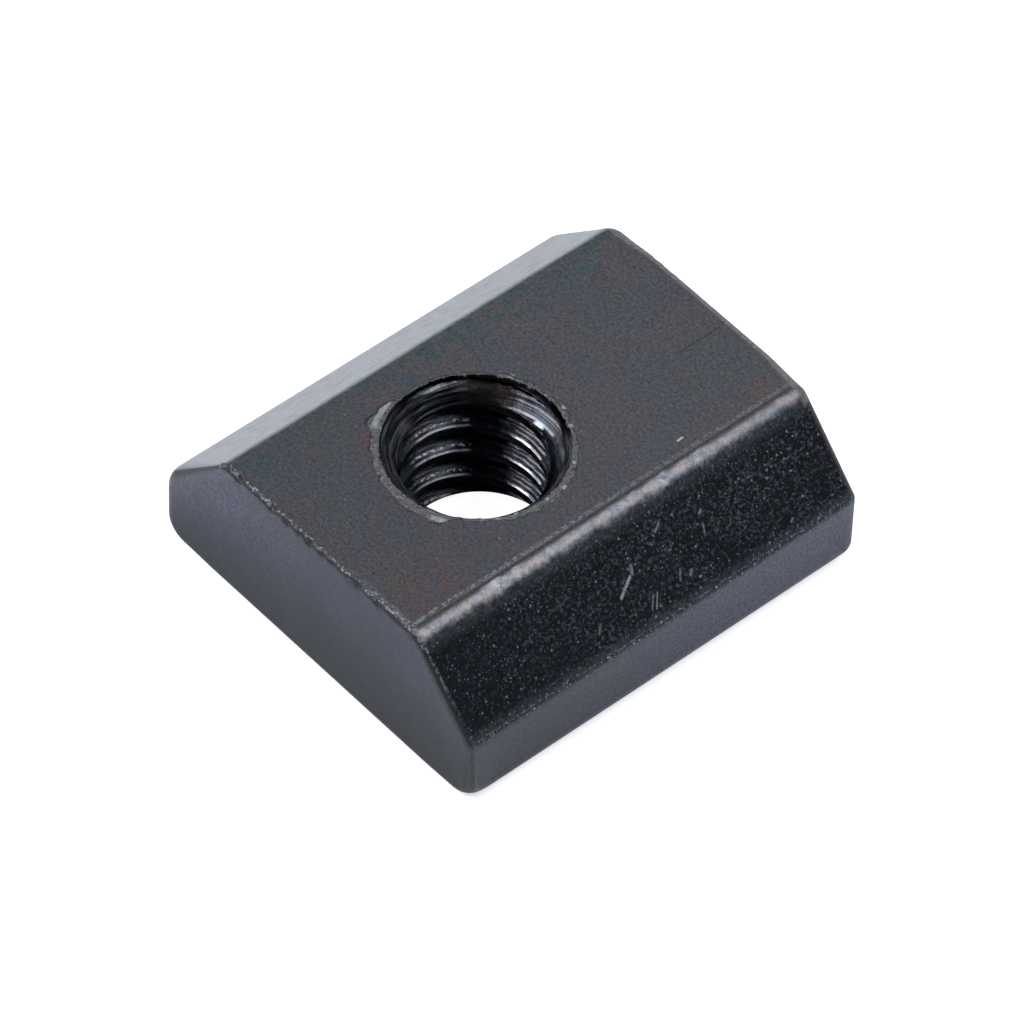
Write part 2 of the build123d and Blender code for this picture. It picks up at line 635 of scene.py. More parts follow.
class Graph:
    """Short calls that add shader nodes. An input takes a number, a colour or a socket."""

    def __init__(self, tree):
        self.nodes = tree.nodes
        self.links = tree.links

    def put(self, socket, value):
        if isinstance(value, bpy.types.NodeSocket):
            self.links.new(value, socket)
        elif isinstance(value, tuple) and socket.type == "RGBA":
            socket.default_value = (*value, 1)
        else:
            socket.default_value = value

    def fill(self, node, values, output=0):
        """Puts values into a node's inputs, and gives one of its outputs."""
        for name, value in values.items():
            self.put(node.inputs[name], value)
        return node.outputs[output]

    def math(self, operation, *values, clamp=False):
        node = self.nodes.new("ShaderNodeMath")
        node.operation = operation
        node.use_clamp = clamp
        return self.fill(node, dict(enumerate(values)))

    def fold(self, operation, values):
        return functools.reduce(lambda total, value: self.math(operation, total, value), values)

    def add(self, *values):
        return self.fold("ADD", values)

    def times(self, *values):
        return self.fold("MULTIPLY", values)

    def most(self, *values):
        return self.fold("MAXIMUM", values)

    def less(self, a, b):
        return self.math("SUBTRACT", a, b)

    def length(self, a, b):
        return self.math("SQRT", self.add(self.times(a, a), self.times(b, b)))

    def about(self, noise, amount):
        """A noise as a length that is as often below 0 as above it."""
        return self.times(self.less(noise, 0.5), amount)

    def inverse(self, value):
        return self.math("SUBTRACT", 1.0, value, clamp=True)

    def ramp(self, value, start, end):
        """0 at start and 1 at end, smooth between; start may be the larger."""
        node = self.nodes.new("ShaderNodeMapRange")
        node.interpolation_type = "SMOOTHSTEP"
        return self.fill(node, {"Value": value, "From Min": start, "From Max": end}, "Result")

    def scaled(self, value, start, end):
        """Takes 0..1 to start..end."""
        node = self.nodes.new("ShaderNodeMapRange")
        return self.fill(node, {"Value": value, "To Min": start, "To Max": end}, "Result")

    def slide(self, value, start, end, low, high):
        """low where the value is at start, high where it is at end, smooth between."""
        return self.scaled(self.ramp(value, start, end), low, high)

    def near(self, value, middle, reach, soft):
        """1 within reach of middle, falling to 0 over soft."""
        away = self.math("ABSOLUTE", self.less(value, middle))
        return self.ramp(away, reach + soft, reach)

    def split(self, vector):
        node = self.nodes.new("ShaderNodeSeparateXYZ")
        self.put(node.inputs[0], vector)
        return tuple(node.outputs)

    def vector(self, x, y, z):
        return self.fill(self.nodes.new("ShaderNodeCombineXYZ"), {0: x, 1: y, 2: z})

    def stretch(self, vector, scale, offset=(0.0, 0.0, 0.0)):
        node = self.nodes.new("ShaderNodeVectorMath")
        node.operation = "MULTIPLY_ADD"
        return self.fill(node, {0: vector, 1: scale, 2: offset})

    def noise(self, vector, scale, detail, roughness=0.5, output="Fac"):
        node = self.nodes.new("ShaderNodeTexNoise")
        return self.fill(node, {"Vector": vector, "Scale": scale, "Detail": detail,
                                "Roughness": roughness}, output)

    def cells(self, vector, scale):
        """Distance to the nearest of scattered points, and three random numbers for each."""
        node = self.nodes.new("ShaderNodeTexVoronoi")
        distance = self.fill(node, {"Vector": vector, "Scale": scale}, "Distance")
        numbers = self.nodes.new("ShaderNodeSeparateColor")
        self.put(numbers.inputs[0], node.outputs["Color"])
        return distance, *numbers.outputs

    def specks(self, vector, scale, share, radius):
        """Scattered dots of uneven size and strength: a share of the cells hold one, and the
        radius of the largest is given in cells."""
        distance, pick, size, strength = self.cells(vector, scale)
        edge = self.times(radius, self.scaled(size, 0.45, 1.0))
        dot = self.ramp(self.math("DIVIDE", distance, edge), 1.0, 0.5)
        dot = self.times(dot, self.math("LESS_THAN", pick, share))
        return self.times(dot, self.scaled(self.times(strength, strength), 0.2, 1.0))

    def lines(self, value, table):
        """The strongest of several lines, each given as its middle, reach, soft edge, strength."""
        return self.most(*(self.times(self.near(value, middle, reach, soft), strength)
                           for middle, reach, soft, strength in table))

    def dash(self, across, along, start, end, width):
        """A short straight mark between two places of a plane."""
        run = (end[0] - start[0], end[1] - start[1])
        length = run[0] ** 2 + run[1] ** 2
        a, b = self.less(across, start[0]), self.less(along, start[1])
        share = self.math("DIVIDE", self.add(self.times(a, run[0]), self.times(b, run[1])),
                          length, clamp=True)
        a = self.less(a, self.times(share, run[0]))
        b = self.less(b, self.times(share, run[1]))
        return self.ramp(self.length(a, b), width, width * 0.4)

    def mix(self, factor, a, b):
        node = self.nodes.new("ShaderNodeMix")
        node.data_type = "FLOAT"
        return self.fill(node, {0: factor, 2: a, 3: b})

    def blend(self, factor, a, b, mode="MIX"):
        node = self.nodes.new("ShaderNodeMix")
        node.data_type = "RGBA"
        node.blend_type = mode
        return self.fill(node, {0: factor, 6: a, 7: b}, 2)

    def shade(self, colour, factor):
        """A colour made darker or lighter by a number."""
        return self.blend(1.0, colour, self.vector(factor, factor, factor), "MULTIPLY")

    def paint(self, surface, colour, *factors):
        """A colour over a surface, as strong as the product of the factors."""
        return self.blend(self.times(*factors), surface, colour)


# Colours of the oxide and of what shows through it
TOP_TONE = (0.052, 0.051, 0.055)
TOP_BROWN = (0.059, 0.052, 0.051)
TOP_SLATE = (0.049, 0.052, 0.06)
TOP_TEAL = (0.026, 0.05, 0.056)
TOP_RUST = (0.09, 0.042, 0.04)
SHOULDER_BLUE = (0.0004, 0.002, 0.0055)
SHOULDER_BROWN = (0.0014, 0.001, 0.0008)
SHOULDER_HAZE_AND_SHEEN = (0.05, 0.058, 0.066)
LEFT_REFLECTION_TONE = (0.14, 0.152, 0.168)
SIDE_TONE = (0.017, 0.0188, 0.0272)
END_TONE = (0.0145, 0.0165, 0.0265)
LINE_TONE = (0.012, 0.009, 0.008)
RIM_TONE = (0.105, 0.099, 0.09)
DUST_TONE = (0.16, 0.19, 0.21)
CHIP_TONE = (0.33, 0.36, 0.36)
EDGE_WEAR_AND_HIGHLIGHT = (0.2, 0.2, 0.23)
EDGE_WEAR_AND_HIGHLIGHT_PINK = (0.28, 0.24, 0.23)
RUB_TONE = (0.17, 0.165, 0.155)
PIT_TONE = (0.006, 0.006, 0.007)
HOLE_TONE = (0.003, 0.0044, 0.007)
HOLE_BROWN = (0.02, 0.015, 0.014)
STREAK_AND_REFLECTION_TONE = (0.5, 0.52, 0.55)
STREAK_AND_REFLECTION_WARM = (0.5, 0.42, 0.4)

# Painted reflections in the hole, as bright lines: middle, reach and soft edge in turns of
# the thread or in millimetres of height, and strength
LEFT_THREAD_LINES = ((0.14, 0.01, 0.02, 0.2), (0.06, 0.005, 0.014, 0.1), (0.3, 0.005, 0.014, 0.1),
                     (0.36, 0.006, 0.014, 0.14), (0.42, 0.005, 0.014, 0.08))
DASHED_THREAD_LINES = ((0.222, 0.012, 0.016, 0.34),)
RIGHT_THREAD_LINES = ((0.142, 0.012, 0.016, 1.0), (0.06, 0.005, 0.014, 0.15),
                      (0.225, 0.006, 0.016, 0.16), (0.29, 0.005, 0.014, 0.16),
                      (0.345, 0.01, 0.018, 0.35), (0.42, 0.005, 0.014, 0.15))
CONE_LINES = ((6.05, 0.018, 0.025, 0.35), (5.985, 0.006, 0.012, 0.14), (5.87, 0.022, 0.025, 0.16),
              (5.75, 0.012, 0.018, 0.14), (5.69, 0.005, 0.012, 0.1), (5.565, 0.015, 0.02, 0.25))

# Bright spots on the right top edge: middle, reach and soft edge along y, and strength
EDGE_SPOTS = ((-5.1, 0.12, 0.3, 1.0), (2.2, 0.08, 0.25, 0.9), (-4.3, 0.03, 0.15, 0.6),
              (-2.9, 0.04, 0.15, 0.5), (3.6, 0.05, 0.2, 0.6))

# Marks on the right shoulder: y and height at both ends, width, strength
SHOULDER_DASHES = (
    ((-1.27, 4.22), (-0.62, 4.57), 0.065, 0.7),
    ((-0.5, 4.62), (-0.42, 4.78), 0.09, 0.4),
    ((-0.38, 3.55), (-0.12, 3.84), 0.04, 0.35),
    ((-0.22, 3.5), (0.06, 3.84), 0.04, 0.45),
    ((1.05, 3.78), (1.22, 4.02), 0.05, 0.35),
    ((1.5, 3.76), (1.6, 3.84), 0.07, 0.4),
    ((0.98, 5.2), (1.25, 5.34), 0.05, 0.4),
    ((2.68, 4.5), (2.76, 4.68), 0.05, 0.4),
    ((2.8, 4.98), (2.9, 5.03), 0.06, 0.45),
    ((-2.6, 3.75), (-2.42, 3.95), 0.04, 0.3),
)

# Marks on the top face: x and y at both ends, and width
TOP_SCRATCH = ((1.22, 6.3), (1.22, 8.2), 0.04)
TOP_CHIP = ((4.22, 3.64), (4.2, 3.86), 0.06)

# Patches of rust on the top face: middle, reach and soft edge along x, then along y
RUST_PATCHES = (
    ((3.9, 0.5, 0.9), (-7.1, 0.5, 1.3)),
    ((4.2, 0.2, 0.7), (7.7, 0.3, 0.9)),
)

# Where the tapped wall begins under the top mouth's countersink
THREAD_START = (TOP_Z - 0.76, TOP_Z - 0.84)
BUMP_DISTANCE = 0.006


class NutGraph(Graph):
    """A graph that knows where a point lies on the nut, in millimetres. The find functions
    below add masks to it, which are 1 on one part of the nut and 0 elsewhere."""

    def __init__(self, tree):
        super().__init__(tree)
        coordinates = self.nodes.new("ShaderNodeTexCoord")
        self.spot = self.stretch(coordinates.outputs["Object"], (1 / MM, 1 / MM, 1 / MM))
        self.x, self.y, self.z = self.split(self.spot)
        self.nx, self.ny, self.nz = self.split(coordinates.outputs["Normal"])
        self.away_x = self.math("ABSOLUTE", self.nx)
        self.away_y = self.math("ABSOLUTE", self.ny)
        self.across = self.less(self.x, HOLE_X)
        self.along = self.less(self.y, HOLE_Y)
        self.radius = self.length(self.across, self.along)
        self.turn = self.math("ARCTAN2", self.along, self.across)

    def noise_at(self, scale, detail, roughness, shift=(0.0, 0.0, 0.0)):
        return self.noise(self.stretch(self.spot, (1, 1, 1), shift), scale, detail, roughness)

    def specks_at(self, shift, *kind):
        return self.specks(self.stretch(self.spot, (1, 1, 1), shift), *kind)

    def toward(self, degrees, half, soft):
        """1 in a sector of the hole round an angle, 0 outside it."""
        angle = math.radians(degrees)
        reach = self.add(self.times(self.across, math.cos(angle)),
                         self.times(self.along, math.sin(angle)))
        return self.ramp(self.math("DIVIDE", reach, self.radius),
                         math.cos(math.radians(half + soft)), math.cos(math.radians(half)))


def find_noises(g):
    g.grain = g.noise_at(8.5, 3.0, 0.75)
    g.nick = g.noise_at(5.5, 3.0, 0.72, (0.6, 3.4, 6.1))
    g.sharp_nick = g.noise_at(9.0, 3.0, 0.7, (5.6, 1.4, 2.1))
    g.patchy = g.noise_at(1.5, 3.0, 0.6, (2.4, 8.1, 5.7))
    g.cloud = g.noise_at(0.42, 2.0, 0.5, (3.1, 7.7, 0.4))
    g.thick = g.ramp(g.noise_at(0.55, 3.0, 0.6), 0.3, 0.7)
    g.drawn = g.noise(g.stretch(g.spot, (3.4, 1.6, 3.4)), 1.0, 3.0, 0.7)


def find_hole(g):
    shift = g.times(TOP_MOUTH_SHIFT, g.math("COSINE", g.less(g.turn, TOP_MOUTH_SHIFT_ANGLE)))
    g.out = g.less(g.radius, g.add(TOP_MOUTH_RADIUS, shift))
    torn = g.noise_at(4.2, 2.0, 0.6, (3.3, 4.8, 0.7))
    top_mouth = g.ramp(g.add(g.out, g.about(torn, 0.22)), 0.025, 0.0)
    base_mouth = g.times(g.ramp(g.radius, 4.0, 3.9), g.ramp(g.nz, -0.97, -0.9),
                         g.ramp(g.z, 1.6, 1.3))
    g.hole = g.most(top_mouth, base_mouth)
    g.outside = g.inverse(g.hole)


def find_faces(g):
    g.top = g.times(g.ramp(g.nz, 0.9, 0.985), g.outside)
    g.end = g.times(g.ramp(g.away_y, 0.8, 0.95), g.outside)
    g.side = g.times(g.ramp(g.add(g.away_x, g.about(g.nick, 0.16)), 0.92, 0.97), g.outside)
    shoulder = g.times(g.outside, g.inverse(g.top), g.inverse(g.end), g.inverse(g.side))
    g.left = g.times(g.ramp(g.nx, -0.3, -0.6), shoulder)
    g.right = g.times(shoulder, g.inverse(g.left))


def find_edges(g):
    """The right top edge, worn by rubbing to a rough border and painted light as a highlight, and
    the other edges.
    """
    height = g.add(g.z, g.about(g.nick, 0.14), g.about(g.patchy, 0.3))
    # Worn band along the right top edge, which also carries a painted highlight
    g.rubbed = g.times(g.ramp(height, 5.93, 6.17), g.ramp(g.nx, 0.1, 0.26),
                       g.ramp(g.nz, 0.5, 0.6), g.outside)
    g.wear = g.times(g.rubbed, g.slide(g.nick, 0.3, 0.64, 0.5, 1.1),
                     g.slide(g.y, 1.0, 8.0, 1.0, 0.75))
    g.flank = g.ramp(g.away_y, 0.3, 0.1)
    g.below_top = g.ramp(g.z, TOP_Z - 0.25, TOP_Z - 0.45)
    g.end_line = g.times(g.near(g.away_y, 0.66, 0.1, 0.2), g.outside, g.below_top)
    g.side_line = g.times(g.near(g.away_x, 0.87, 0.05, 0.06), g.flank, g.ramp(g.z, 1.8, 2.2),
                          g.outside)
    g.high = g.times(g.ramp(g.z, TOP_Z - 0.5, TOP_Z - 0.3), g.outside, g.inverse(g.rubbed))
    g.end_rim = g.times(g.ramp(g.away_y, 0.08, 0.2), g.ramp(g.away_y, 0.97, 0.9), g.high)


def find_rim(g):
    """The torn metal that stands over the top face, and a ragged band round the mouth."""
    g.lifted = g.times(g.ramp(g.z, TOP_Z + 0.002, TOP_Z + 0.01), g.outside)
    bulge = g.math("MAXIMUM", g.less(g.noise_at(2.6, 4.0, 0.65), 0.44), 0.0)
    reach = g.add(0.06, g.times(0.25, bulge))
    band = g.times(g.ramp(g.out, reach, g.times(reach, 0.6)), g.outside,
                   g.ramp(g.z, TOP_Z - 0.3, TOP_Z - 0.1))
    g.rim = g.most(band, g.lifted)


def find_wall(g):
    """The wall of the hole, with noises that run along its thread."""
    turns = g.less(g.times(g.less(g.z, CREST_Z), 1 / PITCH), g.times(g.turn, 1 / FULL_TURN))
    g.phase = g.less(g.math("FRACT", g.add(turns, 0.5)), 0.5)
    g.threaded = g.ramp(g.z, *THREAD_START)
    g.cone = g.inverse(g.threaded)
    level = g.mix(g.threaded, g.z, g.times(g.phase, PITCH))

    def drawn_out(across_scale, height, height_scale, detail, roughness):
        place = g.vector(g.times(g.x, across_scale), g.times(g.y, across_scale),
                         g.times(height, height_scale))
        return g.noise(place, 1.0, detail, roughness)

    g.streak = drawn_out(0.6, level, 9.0, 3.0, 0.65)
    g.strand = g.scaled(g.ramp(drawn_out(1.4, level, 13.0, 1.0, 0.5), 0.4, 0.58), 0.2, 1.0)
    g.glint = drawn_out(7.5, g.z, 3.0, 2.0, 0.6)
    g.swell = drawn_out(1.3, g.z, 1.1, 2.0, 0.6)
    g.left_part = g.toward(167, 18, 10)
    g.shaded = g.times(g.cone, g.inverse(g.toward(128, 60, 14)))


def top_face(g):
    """A dull oxide with faint colours in soft patches."""
    second_cloud = g.noise_at(0.65, 2.0, 0.5, (11.2, 1.9, 5.5))
    colour = g.blend(g.ramp(g.cloud, 0.42, 0.66), TOP_TONE, TOP_BROWN)
    colour = g.blend(g.ramp(second_cloud, 0.48, 0.66), colour, TOP_SLATE)
    teal = g.times(g.ramp(g.x, -2.6, -4.2), g.ramp(g.noise_at(1.6, 3.0, 0.7), 0.45, 0.64))
    colour = g.paint(colour, TOP_TEAL, teal, 0.8)
    beside_hole = g.times(g.near(g.radius, 3.75, 0.15, 0.35), g.near(g.turn, -2.55, 0.25, 0.6))
    patches = g.most(beside_hole, *(g.times(g.near(g.x, *along_x), g.near(g.y, *along_y))
                                    for along_x, along_y in RUST_PATCHES))
    rust = g.times(patches, g.ramp(g.noise_at(2.4, 3.0, 0.75), 0.42, 0.62))
    colour = g.paint(colour, TOP_RUST, rust, 0.6)
    colour = g.shade(colour, g.slide(g.y, -8.0, 4.0, 0.97, 1.08))
    colour = g.shade(colour, g.slide(g.grain, 0.15, 0.85, 0.35, 1.65))
    freckles = g.noise(g.stretch(g.spot, (1, 1, 1), (2.2, 6.6, 1.3)), 8.0, 1.0, output="Color")
    colour = g.blend(0.12, colour, freckles, "SOFT_LIGHT")
    colour = g.paint(colour, PIT_TONE, g.dash(g.x, g.y, *TOP_SCRATCH), 0.6)
    return g.blend(g.dash(g.x, g.y, *TOP_CHIP), colour, CHIP_TONE)


def shoulders(g):
    """The drawn shoulders: near black under a thin haze on the right, lighter on the left as a
    painted reflection.
    """
    colour = g.blend(g.ramp(g.patchy, 0.42, 0.58), SHOULDER_BROWN, SHOULDER_BLUE)
    haze = g.times(g.ramp(g.noise_at(7.0, 3.0, 0.75, (9.4, 3.2, 5.1)), 0.46, 0.8),
                   g.scaled(g.thick, 0.5, 1.4), g.slide(g.y, -7.5, -2.0, 0.55, 1.5))
    colour = g.blend(haze, colour, SHOULDER_HAZE_AND_SHEEN)
    # Painted sheen: lighter bands below the top edge and above the side, broken up by noise
    painted_sheen = g.most(g.times(g.ramp(g.z, 5.55, 5.98), 0.8), g.times(g.ramp(g.z, 3.5, 3.1), 0.9))
    painted_sheen = g.times(painted_sheen, g.slide(g.nick, 0.35, 0.65, 0.3, 1.0))
    colour = g.blend(painted_sheen, colour, SHOULDER_HAZE_AND_SHEEN)
    # Painted reflection: the left shoulder is lighter, in streaks along its length
    painted_reflection = g.times(g.left, g.slide(g.drawn, 0.25, 0.6, 0.45, 1.0))
    colour = g.blend(painted_reflection, colour, LEFT_REFLECTION_TONE)
    pores = g.specks(g.stretch(g.spot, (1, 0.6, 1), (3.2, 6.2, 0.8)), 3.2, 0.9, 0.26)
    return g.paint(colour, PIT_TONE, pores, g.left, 0.9)


def dust(g, surface):
    """Fine light dust and a few scratches on the right shoulder."""
    motes = g.most(
        g.specks(g.spot, 5.4, g.scaled(g.thick, 0.35, 0.75), 0.34),
        g.times(g.specks_at((4.1, 2.2, 7.3), 8.0, 0.7, 0.4), 0.6),
        g.times(g.specks(g.stretch(g.spot, (1, 0.8, 1), (1.1, 9.2, 3.3)), 3.0, 0.25, 0.22), 1.6))
    surface = g.paint(surface, DUST_TONE, motes, g.right)
    marks = g.most(*(g.times(g.dash(g.y, g.z, start, finish, width), strength)
                     for start, finish, width, strength in SHOULDER_DASHES))
    marks = g.times(marks, g.right, g.ramp(g.nx, 0.5, 0.65), g.ramp(g.sharp_nick, 0.25, 0.5))
    return g.blend(marks, surface, CHIP_TONE)


def ends_and_sides(g, surface):
    """Painted light: the ends are lighter towards the top and the left and darker at the foot, the
    sides lighter towards the far end.
    """
    specked = g.slide(g.grain, 0.3, 0.7, 0.35, 1.65)
    # Painted reflection and shade: the end is darker at the base, lighter at the top and to the
    # left
    end_mottle_and_painted_light = g.times(specked, g.slide(g.z, 0.0, 5.5, 0.4, 2.0),
                     g.scaled(g.cloud, 0.5, 1.5), g.slide(g.x, 2.0, -7.0, 0.9, 1.7))
    surface = g.blend(g.end, surface, g.shade(END_TONE, end_mottle_and_painted_light))
    # Painted reflection: the side is lighter towards the far end
    side_grain_and_painted_light = g.times(specked, g.slide(g.y, -8.0, 8.0, 1.6, 3.6))
    return g.blend(g.side, surface, g.shade(SIDE_TONE, side_grain_and_painted_light))


def dots_and_pits(g, surface):
    """Sparse bright dots and dark pits everywhere outside."""
    dots = g.specks_at((7.3, 0.9, 2.6), 2.1, 0.4, 0.09)
    surface = g.paint(surface, CHIP_TONE, dots, g.outside, 0.8)
    pits = g.specks_at((1.7, 5.9, 8.8), 2.4, 0.4, 0.1)
    return g.paint(surface, PIT_TONE, pits, g.outside, 0.9)


def long_top_edges(g, surface):
    """The right top edge is worn light by rubbing and painted lighter as a highlight, the left one
    a little.
    """
    # Painted highlight and wear along the right top edge, with bright chips
    colour = g.blend(g.ramp(g.patchy, 0.4, 0.6), EDGE_WEAR_AND_HIGHLIGHT, EDGE_WEAR_AND_HIGHLIGHT_PINK)
    colour = g.blend(g.ramp(g.sharp_nick, 0.56, 0.75), colour, CHIP_TONE)
    surface = g.blend(g.wear, surface, colour)
    spots = g.times(g.lines(g.y, EDGE_SPOTS), g.rubbed,
                    g.ramp(g.add(g.nick, g.sharp_nick), 0.85, 1.15))
    surface = g.blend(spots, surface, CHIP_TONE)
    left_rub = g.times(g.ramp(g.nx, -0.08, -0.3), g.ramp(g.nx, -0.7, -0.5),
                       g.ramp(g.nz, 0.5, 0.6), g.outside, g.ramp(g.nick, 0.4, 0.6))
    surface = g.paint(surface, RUB_TONE, left_rub, 0.12)
    border = g.add(g.x, g.about(g.nick, 0.2))
    dark = g.times(g.near(border, 4.87, 0.02, 0.05), g.top, 0.55)
    surface = g.blend(dark, surface, PIT_TONE)
    beads = g.times(g.near(border, 4.72, 0.04, 0.08), g.top, g.ramp(g.nick, 0.4, 0.65),
                    g.slide(g.y, -6.0, 4.0, 0.45, 0.25))
    return g.blend(beads, surface, CHIP_TONE)


def lower_edges(g, surface):
    """A thin brown line along each edge, and light nicks beside it."""
    brown = g.times(g.end_line, g.slide(g.z, 2.8, 3.4, 0.4, 0.9))
    surface = g.blend(brown, surface, LINE_TONE)
    surface = g.paint(surface, LINE_TONE, g.side_line, g.scaled(g.nick, 0.1, 0.8))
    beside = g.times(g.near(g.away_y, 0.3, 0.08, 0.14), g.outside, g.below_top,
                     g.ramp(g.away_x, 0.4, 0.6), g.inverse(g.side), g.ramp(g.nick, 0.36, 0.6),
                     g.ramp(g.y, 2.0, -2.0), g.slide(g.z, 3.2, 6.0, 0.12, 0.9))
    surface = g.blend(beside, surface, EDGE_WEAR_AND_HIGHLIGHT)
    nicks = g.times(g.most(g.side_line, g.near(g.away_x, 0.8, 0.02, 0.04)), g.below_top,
                    g.outside, g.flank, g.ramp(g.sharp_nick, 0.57, 0.7))
    return g.blend(nicks, surface, CHIP_TONE)


def end_top_edges(g, surface):
    """The top edges of both ends: dark with bright chips, and the far one worn by rubbing."""
    surface = g.paint(surface, LINE_TONE, g.end_rim, g.scaled(g.nick, 0.3, 1.2))
    chips = g.times(g.ramp(g.away_y, 0.1, 0.25), g.ramp(g.away_y, 0.9, 0.6), g.high,
                    g.ramp(g.sharp_nick, 0.5, 0.66), 0.9)
    lip_chips = g.times(g.ramp(g.y, -8.38, -8.6), g.ramp(g.x, 1.0, 4.2), g.top,
                        g.ramp(g.nick, 0.42, 0.6), 0.6)
    surface = g.blend(g.most(chips, lip_chips), surface, CHIP_TONE)
    far_rub = g.times(g.ramp(g.ny, 0.05, 0.3), g.ramp(g.ny, 0.9, 0.6), g.high,
                      g.scaled(g.nick, 0.4, 1.0))
    return g.blend(far_rub, surface, RUB_TONE)


def torn_rim(g, surface):
    """Rough grey metal round the top mouth, with two chips, crumbs and a dark painted shadow round
    its outer edge.
    """
    # Painted shadow: a dark line on the top face just outside the lifted rim
    lip_shadow = g.times(g.ramp(g.z, TOP_Z + 0.0002, TOP_Z + 0.001), g.outside,
                     g.inverse(g.lifted), g.near(g.radius, 3.6, 0.4, 0.1), 0.7)
    surface = g.blend(lip_shadow, surface, PIT_TONE)
    colour = g.blend(g.ramp(g.nick, 0.28, 0.5), PIT_TONE, RIM_TONE)
    colour = g.blend(g.ramp(g.sharp_nick, 0.58, 0.72), colour, CHIP_TONE)
    chips = g.most(g.times(g.toward(-153, 8, 5), g.near(g.out, 0.27, 0.06, 0.08)),
                   g.times(g.toward(-61, 3, 2), g.near(g.out, 0.27, 0.06, 0.06)))
    chips = g.times(chips, g.slide(g.sharp_nick, 0.4, 0.6, 0.55, 1.0))
    colour = g.blend(chips, colour, CHIP_TONE)
    surface = g.blend(g.times(g.rim, 0.9), surface, colour)
    crumbs = g.times(g.specks_at((6.5, 1.8, 2.2), 3.4, 0.9, 0.55), g.near(g.out, 0.1, 0.14, 0.08),
                     g.outside, g.most(g.toward(20, 45, 15), g.toward(100, 26, 10)))
    return g.blend(crumbs, surface, CHIP_TONE)


# Painted reflections of the lamps along the thread, in two sectors of the hole
def thread_lines(g):
    wobble = g.add(g.phase, g.about(g.glint, 0.02), g.about(g.swell, 0.04))
    smooth = g.times(g.lines(g.phase, LEFT_THREAD_LINES), g.ramp(g.swell, 0.3, 0.5))
    dashed = g.times(g.lines(wobble, DASHED_THREAD_LINES), g.ramp(g.glint, 0.42, 0.62))
    on_right = g.times(g.toward(98, 18, 3), g.lines(wobble, RIGHT_THREAD_LINES),
                       g.ramp(g.swell, 0.25, 0.6), g.strand)
    return g.most(g.times(g.left_part, g.most(smooth, dashed)), on_right)


# Painted reflections in the countersink: bright rings, a patch and streaks in the lit sectors
def cone_lines(g):
    sectors = g.most(g.times(g.left_part, 0.6), g.toward(94, 20, 5))
    rings = g.times(g.lines(g.z, CONE_LINES), sectors, g.ramp(g.streak, 0.3, 0.55))
    patch = g.times(g.toward(86, 2, 4), g.near(g.z, 5.53, 0.03, 0.05), 0.35)
    streaked_reflection = g.times(g.left_part, g.ramp(g.streak, 0.48, 0.66), g.ramp(g.z, 5.6, 5.9), 0.12)
    return g.most(rings, patch, streaked_reflection)


def hole_wall(g, surface):
    """Black, with bright lines along the thread and the countersink where the photograph shows
    reflections, and faint ones elsewhere."""
    brown = g.times(g.toward(133, 14, 8), g.cone)
    surface = g.blend(g.hole, surface, g.blend(brown, HOLE_TONE, HOLE_BROWN))
    # The bright lines are painted reflections; the faint lines are grey streaks
    lit = g.times(g.hole, g.most(g.times(thread_lines(g), g.threaded),
                                 g.times(cone_lines(g), g.cone)))
    faint = g.times(g.ramp(g.streak, 0.42, 0.72), g.hole, g.mix(g.shaded, 0.07, 0.2))
    colour = g.blend(g.ramp(g.swell, 0.45, 0.65), STREAK_AND_REFLECTION_TONE, STREAK_AND_REFLECTION_WARM)
    return g.blend(g.most(lit, faint), surface, colour)


def roughness(g):
    satin = g.mix(g.top, 0.24, g.scaled(g.grain, 0.42, 0.6))
    satin = g.mix(g.end, satin, 0.36)
    satin = g.mix(g.side, satin, 0.33)
    satin = g.mix(g.left, satin, g.slide(g.drawn, 0.25, 0.55, 0.27, 0.22))
    satin = g.mix(g.wear, satin, 0.4)
    satin = g.mix(g.most(g.end_line, g.rim, g.end_rim), satin, 0.5)
    return g.mix(g.hole, satin, g.scaled(g.glint, 0.2, 0.45))


def bumps(g):
    edges = g.most(g.end_line, g.rim, g.end_rim, g.times(g.side_line, 0.8))
    height = g.add(g.times(g.grain, g.scaled(g.top, 0.8, 1.5)), g.times(g.sharp_nick, edges, 4.0),
                   g.times(g.nick, g.rubbed, 4.0), g.times(g.streak, g.hole, 3.0),
                   g.times(g.glint, g.hole, 1.5))
    bump = g.nodes.new("ShaderNodeBump")
    bump.inputs["Distance"].default_value = BUMP_DISTANCE * MM
    bump.inputs["Strength"].default_value = 1
    g.put(bump.inputs["Height"], height)
    return bump.outputs["Normal"]


def black_oxide():
    material = bpy.data.materials.new("black_oxide")
    material.use_nodes = True
    shader = material.node_tree.nodes["Principled BSDF"]
    g = NutGraph(material.node_tree)
    for find in (find_noises, find_hole, find_faces, find_edges, find_rim, find_wall):
        find(g)
    surface = g.blend(g.top, shoulders(g), top_face(g))
    for paint in (dust, ends_and_sides, dots_and_pits, long_top_edges, lower_edges,
                  end_top_edges, torn_rim, hole_wall):
        surface = paint(g, surface)
    g.put(shader.inputs["Base Color"], surface)
    g.put(shader.inputs["Metallic"], g.most(g.times(g.hole, g.scaled(g.shaded, 1.0, 0.2)),
                                            g.times(g.rim, 0.2), g.times(g.wear, 0.2)))
    g.put(shader.inputs["Roughness"], roughness(g))
    shader.inputs["IOR"].default_value = 1.5
    g.put(shader.inputs["Normal"], bumps(g))
    return material


nut.data.materials.append(black_oxide())
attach(nut, BODY)
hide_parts(NODE)

